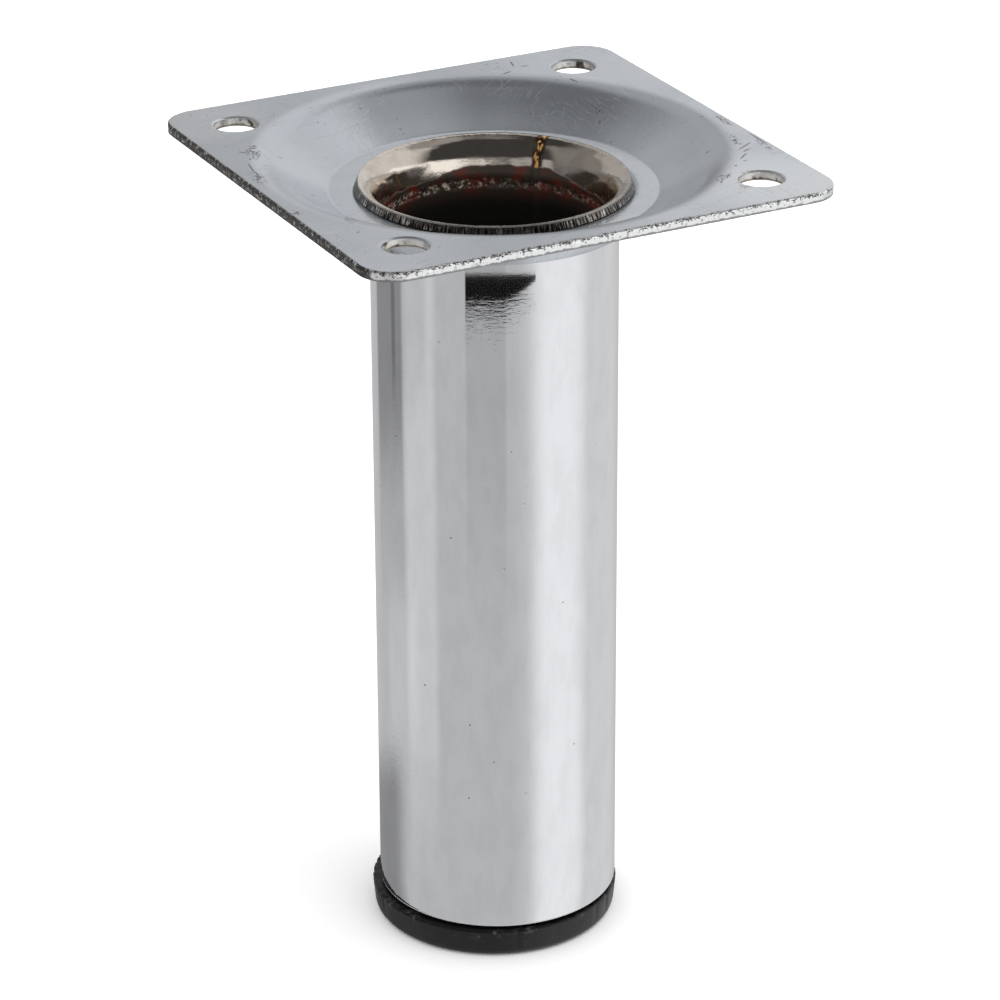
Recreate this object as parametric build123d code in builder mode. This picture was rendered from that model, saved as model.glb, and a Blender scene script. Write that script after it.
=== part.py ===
import os
from build123d import *

# Short steel furniture leg in three pieces: a square sheet plate with a pressed dish and four screw
# holes, a round tube whose mouth is flared over the neck of the dish, and a black plug-in foot cap.
# Millimetres, Z up. The origin is the middle of the footprint, at floor height.

# Overall sizes
overall_height = 100.0
plate_side = 60.0
tube_radius = 14.75
tube_wall = 1.6

# Mounting plate sheet and outline
sheet = 1.2
plate_corner_radius = 4.3
plate_edge_round = 0.25
screw_spacing = 45.6
screw_hole_radius = 2.65

# Pressed dish, as depths below the top of the plate and radii from the tube axis
dish_crest_radius = 26.95
dish_floor_radius = 19.6
dish_floor_depth = 4.45
neck_depth = 7.9
neck_bend = 1.6
crest_bend = 6.5
floor_bend = 1.0
dish_join_flat = 0.2

# Flared mouth of the tube
tube_to_neck = 0.75
rim_overhang = 1.75
rim_top_depth = 3.4
rim_lip_depth = 4.35
rim_cut_lean = 0.5
rim_lip_round = 0.12
flare_depth = 3.4
flare_cone_run = 1.1

# Weld seam inside the tube
seam_angle = 40.5
seam_radius = 0.9
seam_height = 0.35

# Foot cap
flange_thickness = 3.7
flange_overhang = 0.55
flange_taper = 5.0
cap_gap = 0.4
cap_shift_x = -0.37
cap_shift_y = 0.19
flange_bottom_round = 1.1
flange_top_round = 0.3
plug_length = 13.0
plug_gap = 0.95
plug_wall = 1.5
plug_floor = 2.4
barb_count = 3
barb_pitch = 3.4
barb_drop = 2.2
wall_to_barb = 0.06
plug_tip_chamfer = 0.5

# Heights and radii that follow from the sizes above
plate_top = overall_height
plate_bottom = plate_top - sheet
dish_floor_height = plate_top - dish_floor_depth
neck_bottom = plate_top - neck_depth
neck_radius = tube_radius + tube_to_neck
rim_height = plate_top - rim_top_depth
rim_lip_height = plate_top - rim_lip_depth
rim_outer_radius = tube_radius + rim_overhang
rim_inner_radius = rim_outer_radius - rim_cut_lean
rim_under_height = rim_lip_height - rim_lip_round
flare_height = rim_under_height - rim_overhang
bore_radius = tube_radius - tube_wall
throat_height = rim_height - flare_depth
flare_corner_radius = bore_radius + flare_cone_run
flare_cone_length = (flare_cone_run**2 + flare_depth**2) ** 0.5
flare_bend_reach = 0.98 * (rim_inner_radius - flare_corner_radius)
flare_bend = flare_bend_reach * (flare_cone_length + flare_cone_run) / flare_depth
tube_bottom = flange_thickness + cap_gap
tube_foot_round = 0.2
cone_run = dish_crest_radius - dish_floor_radius
cone_length = (cone_run**2 + dish_floor_depth**2) ** 0.5
crest_reach = crest_bend * (cone_length - cone_run) / dish_floor_depth
dish_join_radius = dish_crest_radius + crest_reach + dish_join_flat
cap_shift = (cap_shift_x**2 + cap_shift_y**2) ** 0.5
flange_radius = tube_radius + flange_overhang
plug_radius = bore_radius - plug_gap
barb_radius = bore_radius - cap_shift - wall_to_barb
plug_top = flange_thickness + plug_length
seam_centre_radius = bore_radius + seam_radius - seam_height

os.makedirs("parts", exist_ok=True)

# The plate: a flat square with rounded corners, whose middle is pressed down into a dish. The dish
# is one bent strip of the same sheet, turned about the tube axis: a cone down from the flat, a flat
# floor just under the rim of the tube, and a short neck that goes down round the tube.
with BuildPart() as mounting_plate:
    with BuildSketch(Plane.XY.offset(plate_bottom)):
        RectangleRounded(plate_side, plate_side, plate_corner_radius)
        Circle(dish_join_radius, mode=Mode.SUBTRACT)
    extrude(amount=sheet)
    flat_rim = mounting_plate.faces().filter_by(Axis.Z).sort_by(Axis.Z)[-1].outer_wire().edges()
    fillet(flat_rim, radius=plate_edge_round)
    with BuildSketch(Plane.XZ):
        with BuildLine():
            FilletPolyline(
                (dish_join_radius, plate_top),
                (dish_crest_radius, plate_top),
                (dish_floor_radius, dish_floor_height),
                (neck_radius, dish_floor_height),
                (neck_radius, neck_bottom),
                radius=[crest_bend, floor_bend, neck_bend],
            )
            offset(amount=sheet, side=Side.LEFT, closed=True)
        make_face()
    revolve(axis=Axis.Z)
    with BuildSketch(Plane.XY.offset(plate_bottom)):
        with GridLocations(screw_spacing, screw_spacing, 2, 2):
            Circle(screw_hole_radius)
    extrude(amount=sheet, mode=Mode.SUBTRACT)
mounting_plate.part.label = "mounting_plate"
export_step(mounting_plate.part, "parts/mounting_plate.step")

# The tube: a straight wall, then a trumpet mouth that hooks over the bend of the neck. The outside
# of the mouth is a quarter circle. The inside is a short steep cone with a round bend above it, and
# the cut end of the wall leans a little outward. The weld seam is a low bead down the inside.
with BuildPart() as leg_tube:
    with BuildSketch(Plane.XZ):
        with BuildLine():
            Line((bore_radius, tube_bottom), (tube_radius, tube_bottom))
            Line((tube_radius, tube_bottom), (tube_radius, flare_height))
            RadiusArc((tube_radius, flare_height), (rim_outer_radius, rim_under_height), rim_overhang)
            Line((rim_outer_radius, rim_under_height), (rim_outer_radius, rim_lip_height))
            Line((rim_outer_radius, rim_lip_height), (rim_inner_radius, rim_height))
            FilletPolyline(
                (rim_inner_radius, rim_height),
                (flare_corner_radius, rim_height),
                (bore_radius, throat_height),
                radius=flare_bend,
            )
            Line((bore_radius, throat_height), (bore_radius, tube_bottom))
        make_face()
    revolve(axis=Axis.Z)
    foot_edges = leg_tube.edges().filter_by(GeomType.CIRCLE).group_by(Axis.Z)[0]
    fillet(foot_edges, radius=tube_foot_round)
    with BuildSketch(Plane.XY.offset(plug_top)):
        with PolarLocations(seam_centre_radius, 1, start_angle=seam_angle):
            Circle(seam_radius)
    extrude(amount=throat_height - plug_top)
leg_tube.part.label = "leg_tube"
export_step(leg_tube.part, "parts/leg_tube.step")

# The foot cap: a thick flange with a rounded foot edge and a hollow plug with three barbs. It sits
# a little off the tube axis and a little below the tube end, so it is not quite pushed home.
cap_origin = Vector(cap_shift_x, cap_shift_y, 0)
cap_plane = Plane(origin=cap_origin, x_dir=(1, 0, 0), z_dir=(0, -1, 0))
cap_axis = Axis(cap_origin, (0, 0, 1))
with BuildPart() as foot_cap:
    with BuildSketch(Plane(origin=cap_origin + Vector(0, 0, flange_thickness), z_dir=(0, 0, 1))):
        Circle(flange_radius)
    extrude(amount=-flange_thickness, taper=flange_taper)
    fillet(foot_cap.edges().sort_by(Axis.Z)[0], radius=flange_bottom_round)
    fillet(foot_cap.edges().sort_by(Axis.Z)[-1], radius=flange_top_round)
    with BuildSketch(Plane(origin=cap_origin + Vector(0, 0, flange_thickness), z_dir=(0, 0, 1))):
        Circle(plug_radius)
    extrude(amount=plug_length)
    chamfer(foot_cap.edges().sort_by(Axis.Z)[-1], length=plug_tip_chamfer)
    with BuildSketch(cap_plane):
        for barb in range(barb_count):
            barb_base = flange_thickness + barb_pitch * (barb + 0.5)
            with BuildLine():
                Polyline(
                    (plug_radius - plug_tip_chamfer, barb_base),
                    (barb_radius, barb_base),
                    (plug_radius, barb_base + barb_drop),
                    (plug_radius - plug_tip_chamfer, barb_base + barb_drop),
                    close=True,
                )
            make_face()
    revolve(axis=cap_axis)
    with BuildSketch(Plane(origin=cap_origin + Vector(0, 0, plug_floor), z_dir=(0, 0, 1))):
        Circle(plug_radius - plug_wall)
    extrude(amount=plug_top - plug_floor, mode=Mode.SUBTRACT)
foot_cap.part.label = "foot_cap"
export_step(foot_cap.part, "parts/foot_cap.step")
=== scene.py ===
# %% [markdown]
# A short steel furniture leg: a zinc-coated mounting plate, a chromed tube and a black foot cap.
# The solid model comes in first as a fixed frame. Each part is then made again over it, in the
# same place and at the same size, with the bends, burrs and surface marks that a plain solid
# lacks.

# %% Load the fixed frame
import math

import bpy
from mathutils import Matrix, Vector


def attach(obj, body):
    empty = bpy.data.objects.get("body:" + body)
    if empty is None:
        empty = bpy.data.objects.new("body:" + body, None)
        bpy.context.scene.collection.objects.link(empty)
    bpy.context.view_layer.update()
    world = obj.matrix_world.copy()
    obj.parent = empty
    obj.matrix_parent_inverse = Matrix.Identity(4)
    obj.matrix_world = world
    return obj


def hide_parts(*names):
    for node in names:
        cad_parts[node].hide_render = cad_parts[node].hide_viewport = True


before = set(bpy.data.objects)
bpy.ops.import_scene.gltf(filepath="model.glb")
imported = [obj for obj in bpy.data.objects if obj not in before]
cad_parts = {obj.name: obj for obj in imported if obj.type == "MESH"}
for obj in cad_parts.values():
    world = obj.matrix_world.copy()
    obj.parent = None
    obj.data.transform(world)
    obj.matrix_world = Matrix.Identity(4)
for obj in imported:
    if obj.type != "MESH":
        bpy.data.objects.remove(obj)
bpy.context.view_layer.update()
print("solid parts:", sorted(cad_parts))

# %% [markdown]
# The camera stands where the photographer stood: a long lens, about half a metre away and well
# above the plate. The place was found by fitting the plate's edges, its holes and the tube's
# outline. The tiny roll is the photographer's own.

# %% Camera
MM = 0.001
CAMERA_PLACE = Vector((-0.21459, -0.417005, 0.268124))
CAMERA_TURN = math.radians(-27.294)
CAMERA_RISE = math.radians(24.426)
CAMERA_ROLL = -0.0047
LENS = 152.85
FILM_WIDTH = 36


def place_camera():
    """The camera looks down on the plate, with its roll about the line of sight."""
    across = Vector((math.cos(CAMERA_TURN), math.sin(CAMERA_TURN), 0))
    level = math.cos(CAMERA_RISE)
    backward = Vector((
        math.sin(CAMERA_TURN) * level,
        -math.cos(CAMERA_TURN) * level,
        math.sin(CAMERA_RISE),
    ))
    upward = backward.cross(across)
    side = math.cos(CAMERA_ROLL) * across + math.sin(CAMERA_ROLL) * upward
    top = math.cos(CAMERA_ROLL) * upward - math.sin(CAMERA_ROLL) * across
    camera = bpy.data.objects.new("photo_camera", bpy.data.cameras.new("photo_camera"))
    camera.data.lens = LENS
    camera.data.sensor_width = FILM_WIDTH
    camera.data.clip_start = 0.01
    turned = Matrix((side, top, backward)).transposed().to_4x4()
    camera.matrix_world = Matrix.Translation(CAMERA_PLACE) @ turned
    bpy.context.scene.collection.objects.link(camera)
    bpy.context.scene.camera = camera
    return camera


camera = place_camera()
print("camera stands at", tuple(round(value, 3) for value in camera.location))

# %% [markdown]
# Node trees are long to write by hand, for shapes and for finishes alike. A small wrapper round a
# socket lets one write them as sums: `a + b`, `a * 0.5`, `height.ramp(0.09, 0.1)`. It works in a
# Geometry Nodes tree and in a material, because both know the Math, Noise and Map Range nodes.

# %% Sums made of nodes


class Field:
    """One output of a node, which can be added, multiplied and compared like a number."""

    def __init__(self, tree, socket):
        self.tree = tree
        self.socket = socket

    def math(self, operation, *others):
        node = self.tree.nodes.new("ShaderNodeMath")
        node.operation = operation
        for place, value in enumerate((self, *others)):
            feed(self.tree, value, node.inputs[place])
        return Field(self.tree, node.outputs[0])

    def __add__(self, other):
        return self.math("ADD", other)

    def __sub__(self, other):
        return self.math("SUBTRACT", other)

    def __mul__(self, other):
        return self.math("MULTIPLY", other)

    def __truediv__(self, other):
        return self.math("DIVIDE", other)

    def __neg__(self):
        return self * -1.0

    def size(self):
        return self.math("ABSOLUTE")

    def most(self, other):
        return self.math("MAXIMUM", other)

    def ramp(self, low, high, bottom=0.0, top=1.0):
        """A soft step from bottom, where this is below low, to top, where it is above high."""
        borders = {"From_Min": low, "From_Max": high, "To_Min": bottom, "To_Max": top}
        node = add_node(self.tree, "ShaderNodeMapRange", Value=self, **borders)
        node.interpolation_type = "SMOOTHSTEP"
        return Field(self.tree, node.outputs["Result"])

    def ramp_mm(self, low, high, bottom=0.0, top=1.0):
        """The same step for a field in metres, with its borders in millimetres."""
        return self.ramp(low * MM, high * MM, bottom, top)

    def small(self, core, edge):
        """One where this is within core of zero, falling softly to nothing at edge."""
        return self.size().ramp(core, edge, 1.0, 0.0)

    def near(self, middle, core, edge):
        """One within core of middle, falling softly to nothing at edge."""
        return (self - middle).small(core, edge)

    def near_mm(self, middle, core, edge):
        return self.near(middle * MM, core * MM, edge * MM)

    def rest(self):
        """What is left of one, so the other side of a mask."""
        return self * -1.0 + 1.0


def feed(tree, value, socket):
    """Links a field or a node's output to a socket, or writes a plain value on it."""
    if isinstance(value, Field):
        value = value.socket
    if isinstance(value, bpy.types.NodeSocket):
        tree.links.new(value, socket)
    else:
        socket.default_value = value


def add_node(tree, kind, **values):
    """Adds a node, with fields or plain values on its named inputs."""
    node = tree.nodes.new(kind)
    for name, value in values.items():
        feed(tree, value, node.inputs[name.replace("_", " ")])
    return node


def split(tree, vector):
    """The x, y and z of a vector, as three fields."""
    node = add_node(tree, "ShaderNodeSeparateXYZ", Vector=vector)
    return [Field(tree, output) for output in node.outputs]


def vector_of(tree, x, y, z):
    return Field(tree, add_node(tree, "ShaderNodeCombineXYZ", X=x, Y=y, Z=z).outputs[0])


def noise(tree, vector, scale, detail=2.0, roughness=0.5):
    """Cloudy noise, 0 to 1, whose grains are about one metre divided by scale."""
    grain = {"Scale": scale, "Detail": detail, "Roughness": roughness}
    return Field(tree, add_node(tree, "ShaderNodeTexNoise", Vector=vector, **grain).outputs[0])


def round_about(x, y):
    """Distance from the tube's axis and direction round it, in radians."""
    distance = (x * x + y * y).math("SQRT")
    return distance, y.math("ARCTAN2", x)


# %% [markdown]
# All three parts come from a half section: a line of points given as radius and height, which is
# swept round a circle, as on a lathe. The section carries a number at each point, its zone, that
# tells a finish what it lies on. The section runs with the metal on its right, so that the swept
# faces point outwards. The sizes are those of the solid model, in millimetres, but for the inside
# of the flare: its bend and its cone reach a little deeper, to where the light in it shows them.

# %% Half sections
TUBE_RADIUS = 14.75
BORE_RADIUS = 13.15
TUBE_FOOT = 4.1
FLARE_HEIGHT = 93.78
LIP_RADIUS = 16.5
LIP_UNDER = 95.53
LIP_HEIGHT = 95.65
MOUTH_RADIUS = 16.0
MOUTH_HEIGHT = 96.6
THROAT_HEIGHT = 92.41
FLARE_REACH = 2.63
FLARE_DROP = 4.75
CONE_LEAN = math.radians(17.5)
SAME_PLACE = 1e-4


def arc(centre, wide, high, start, end, steps, zone):
    """Section points on part of an ellipse, from the start angle to the end angle in degrees."""
    points = []
    for step in range(steps + 1):
        angle = math.radians(start + (end - start) * step / steps)
        radius = centre[0] + wide * math.cos(angle)
        points.append((radius, centre[1] + high * math.sin(angle), zone))
    return points


def run(start, end, steps, zone):
    """Section points on a straight run, with both ends."""
    points = []
    for step in range(steps + 1):
        share = step / steps
        radius = start[0] + (end[0] - start[0]) * share
        points.append((radius, start[1] + (end[1] - start[1]) * share, zone))
    return points


def without_doubles(points):
    """The same points, less any that lies on the one before it."""
    kept = [points[0]]
    for point in points[1:]:
        if math.dist(point[:2], kept[-1][:2]) > SAME_PLACE:
            kept.append(point)
    return kept


def section_object(name, points, closed):
    """A mesh line of the section, with x as radius and z as height, and the zone on each point."""
    points = without_doubles(points)
    if closed and math.dist(points[0][:2], points[-1][:2]) < SAME_PLACE:
        points.pop()
    edges = [(place, place + 1) for place in range(len(points) - 1)]
    if closed:
        edges.append((len(points) - 1, 0))
    mesh = bpy.data.meshes.new(name)
    mesh.from_pydata([(radius * MM, 0, height * MM) for radius, height, zone in points], edges, [])
    zones = mesh.attributes.new("zone", "FLOAT", "POINT")
    zones.data.foreach_set("value", [zone for radius, height, zone in points])
    section = bpy.data.objects.new(name, mesh)
    bpy.context.scene.collection.objects.link(section)
    print(name, "section has", len(points), "points")
    return section


# %% [markdown]
# The lathe itself is a Geometry Nodes tree. Curve to Mesh sweeps the section along a circle; the
# section is first laid flat, because a profile's x becomes the way out from the circle and its y
# the way down. What each part adds to the bare sweep, such as dents or grain, moves points along
# the surface's own normal, into the metal, so that no part grows past its solid.

# %% A lathe made of nodes
LATHE_CIRCLE = 0.01
WELD_DISTANCE = 2e-6


def new_tree(name, sizes):
    """An empty Geometry Nodes tree with a geometry input and output, and a named input a size."""
    tree = bpy.data.node_groups.new(name, "GeometryNodeTree")
    tree.interface.new_socket(name="Section", in_out="INPUT", socket_type="NodeSocketGeometry")
    for size_name, value in sizes.items():
        kind = "NodeSocketInt" if isinstance(value, int) else "NodeSocketFloat"
        tree.interface.new_socket(name=size_name, in_out="INPUT", socket_type=kind)
    tree.interface.new_socket(name="Part", in_out="OUTPUT", socket_type="NodeSocketGeometry")
    tree.nodes.new("NodeGroupInput")
    tree.nodes.new("NodeGroupOutput")
    return tree


def size_of(tree, name):
    return Field(tree, tree.nodes["Group Input"].outputs[name])


def geometry_node(tree, kind, geometry, **values):
    """Adds a node after the given geometry, with values on its named inputs. Gives its output."""
    node = add_node(tree, "GeometryNode" + kind, **values)
    tree.links.new(geometry, node.inputs[0])
    return node.outputs[0]


def place_of(tree):
    node = tree.nodes.new("GeometryNodeInputPosition")
    return Field(tree, node.outputs[0])


def zone_of(tree):
    """The number that each point has from its section."""
    node = add_node(tree, "GeometryNodeInputNamedAttribute", Name="zone")
    return Field(tree, node.outputs[0])


def circle_path(tree, radius, steps):
    circle = add_node(tree, "GeometryNodeCurvePrimitiveCircle", Resolution=steps, Radius=radius)
    return circle.outputs[0]


def laid_flat(tree, line, inset):
    """A section as a profile for sweeping, moved in by the radius of the path."""
    curve = geometry_node(tree, "MeshToCurve", line)
    out, unused, height = split(tree, place_of(tree))
    laid = vector_of(tree, out - inset, -height, 0.0)
    return geometry_node(tree, "SetPosition", curve, Position=laid)


def swept(tree, path, profile):
    sweep = geometry_node(tree, "CurveToMesh", path, Profile_Curve=profile)
    return geometry_node(tree, "SetShadeSmooth", sweep)


def turn_on_lathe(tree):
    """Sweeps the tree's section round the z axis."""
    profile = laid_flat(tree, tree.nodes["Group Input"].outputs["Section"], LATHE_CIRCLE)
    return swept(tree, circle_path(tree, LATHE_CIRCLE, size_of(tree, "Turn Steps")), profile)


def press_in(tree, geometry, depth):
    """Moves each point into the metal by depth, a field in metres."""
    scaled = tree.nodes.new("ShaderNodeVectorMath")
    scaled.operation = "SCALE"
    feed(tree, tree.nodes.new("GeometryNodeInputNormal").outputs[0], scaled.inputs[0])
    feed(tree, -depth, scaled.inputs["Scale"])
    return geometry_node(tree, "SetPosition", geometry, Offset=scaled.outputs[0])


def close_tree(tree, geometry, finish):
    """Ends a tree as the export needs it: real meshes, poles closed, and the finish on them."""
    real = geometry_node(tree, "RealizeInstances", geometry)
    merged = geometry_node(tree, "MergeByDistance", real, Distance=WELD_DISTANCE)
    painted = geometry_node(tree, "SetMaterial", merged, Material=finish)
    tree.links.new(painted, tree.nodes["Group Output"].inputs[0])


def make_part(name, section, tree, sizes):
    """Runs the tree on the section and keeps the result as a plain mesh of its own."""
    modifier = section.modifiers.new("make", "NODES")
    modifier.node_group = tree
    for socket in tree.interface.items_tree:
        if socket.in_out == "INPUT" and socket.name in sizes:
            modifier[socket.identifier] = sizes[socket.name]
    bpy.context.view_layer.update()
    ready = section.evaluated_get(bpy.context.evaluated_depsgraph_get())
    mesh = bpy.data.meshes.new_from_object(ready)
    part = bpy.data.objects.new(name, mesh)
    bpy.context.scene.collection.objects.link(part)
    section.modifiers.clear()
    bpy.data.objects.remove(section)
    triangles = sum(len(face.vertices) - 2 for face in mesh.polygons)
    print(name, "has", triangles, "triangles and encloses", round(volume_of(mesh) * 1e6, 3), "cm3")
    return part


def volume_of(mesh):
    """Volume inside a closed mesh. It is above zero when the faces point outwards."""
    mesh.calc_loop_triangles()
    total = 0.0
    for triangle in mesh.loop_triangles:
        a, b, c = (mesh.vertices[place].co for place in triangle.vertices)
        total += a.dot(b.cross(c)) / 6
    return total


# %% [markdown]
# Finishes. Each is one Principled BSDF whose colour, roughness and bump come from noise on Object
# coordinates, which are metres here. A helper starts a finish and gives the fields that most of
# them need: place, distance from the tube's axis, direction round it, and the section's zone.

# %% Start of a finish


def colour(red, green, blue):
    """A colour as it looks on a screen, 0 to 255, turned into the linear one that Blender uses."""
    levels = []
    for level in (red, green, blue):
        share = level / 255
        levels.append(share / 12.92 if share < 0.04045 else ((share + 0.055) / 1.055) ** 2.4)
    return (*levels, 1.0)


class Finish:
    """A material under construction, with the fields that patterns are made from."""

    def __init__(self, name):
        self.material = bpy.data.materials.new(name)
        self.material.use_nodes = True
        self.tree = self.material.node_tree
        self.shader = self.tree.nodes["Principled BSDF"]
        where = self.tree.nodes.new("ShaderNodeTexCoord").outputs["Object"]
        self.place = Field(self.tree, where)
        self.x, self.y, self.z = split(self.tree, self.place)
        self.radius, self.direction = round_about(self.x, self.y)
        zone = self.tree.nodes.new("ShaderNodeAttribute")
        zone.attribute_name = "zone"
        self.zone = Field(self.tree, zone.outputs["Fac"])

    def noise(self, scale, detail=2.0, roughness=0.5, at=None):
        """Noise on the place, or on the vector made of the three fields given."""
        vector = self.place if at is None else vector_of(self.tree, *at)
        return noise(self.tree, vector, scale, detail, roughness)

    def cells(self, scale):
        """Distance from the nearest of many scattered points, for pits."""
        node = add_node(self.tree, "ShaderNodeTexVoronoi", Vector=self.place, Scale=scale)
        return Field(self.tree, node.outputs["Distance"])

    def stretched(self, z_factor):
        """Place with its height scaled, so that noise on it makes streaks or ripples."""
        return self.x, self.y, self.z * z_factor

    def distance_to(self, x, y, z=None):
        """Distance from a point in millimetres, or from an upright line where z isn't given."""
        off_x = self.x - x * MM
        off_y = self.y - y * MM
        square = off_x * off_x + off_y * off_y
        if z is not None:
            off_z = self.z - z * MM
            square = square + off_z * off_z
        return square.math("SQRT")

    def mix(self, share, first, second):
        """First where share is nothing, second where it is one. Both are colours or fields."""
        node = self.tree.nodes.new("ShaderNodeMix")
        node.data_type = "RGBA"
        feed(self.tree, share, node.inputs["Factor"])
        feed(self.tree, first, node.inputs[6])
        feed(self.tree, second, node.inputs[7])
        return Field(self.tree, node.outputs[2])

    def layered(self, ground, *layers):
        """A screen colour with others laid over it, each given after its share."""
        tint = colour(*ground)
        for share, tone in layers:
            tint = self.mix(share, tint, colour(*tone))
        return tint

    def paint(self, tint, roughness, metallic):
        """Colour, roughness and share of bare metal, as fields or plain values."""
        feed(self.tree, tint, self.shader.inputs["Base Color"])
        feed(self.tree, roughness, self.shader.inputs["Roughness"])
        feed(self.tree, metallic, self.shader.inputs["Metallic"])

    def bump(self, height, depth):
        """Relief from a height field, 0 to 1, whose full range is depth in millimetres."""
        bump = add_node(self.tree, "ShaderNodeBump", Strength=1.0, Distance=depth * MM)
        feed(self.tree, height, bump.inputs["Height"])
        normal = self.shader.inputs["Normal"]
        if normal.is_linked:
            self.tree.links.new(normal.links[0].from_socket, bump.inputs["Normal"])
        self.tree.links.new(bump.outputs[0], normal)


# %% [markdown]
# The tube has four kinds of surface on one piece of steel. Outside it is bright chrome, with
# faint draw lines, pits and a fine orange peel. The flare inside is thinner plating that looks
# warm, like nickel, and turns brown where the weld has burnt it. The cut end of the wall is bare
# steel with lines across its thickness. Down in the bore there is no plating: dark scale and
# rust, with a ring of pale grains. The section's zone tells outside, cut end and inside apart.
# Inside, the plating ends at a ragged border at the foot of the flare, a little higher on the far
# side.

# %% Tube finish
OUTSIDE, CUT_END, FLARE, BORE = 0.0, 1.0, 2.0, 3.0
SEAM_DIRECTION = math.radians(40.5)
RING_HEIGHT = 91.2
BARE_TONGUE = math.radians(55)
# Radius of the cut end in metres, which turns a direction round it into a length
CUT_END_REACH = 0.0163
# Pits in the chrome: direction round the tube in degrees, and height
TUBE_PITS = (
    (-138.3, 56.5), (-104.2, 61.1), (-113.6, 52.8), (-84.5, 47.3), (-153.1, 36.1), (-170.0, 67.6),
    (-110.2, 67.9), (-129.9, 31.9), (-118.7, 27.0), (-77.8, 27.7), (-130.7, 21.9), (62.0, 40.0),
)


def strongest(masks):
    total = masks[0]
    for mask in masks[1:]:
        total = total.most(mask)
    return total


def spots(finish, places):
    """Small round spots on the tube, each at a direction and a height."""
    masks = []
    for degrees, height in places:
        turn = math.radians(degrees)
        x, y = math.cos(turn) * TUBE_RADIUS, math.sin(turn) * TUBE_RADIUS
        masks.append(finish.distance_to(x, y, height).ramp_mm(0.05, 0.16, 1.0, 0.0))
    return strongest(masks)


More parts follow.
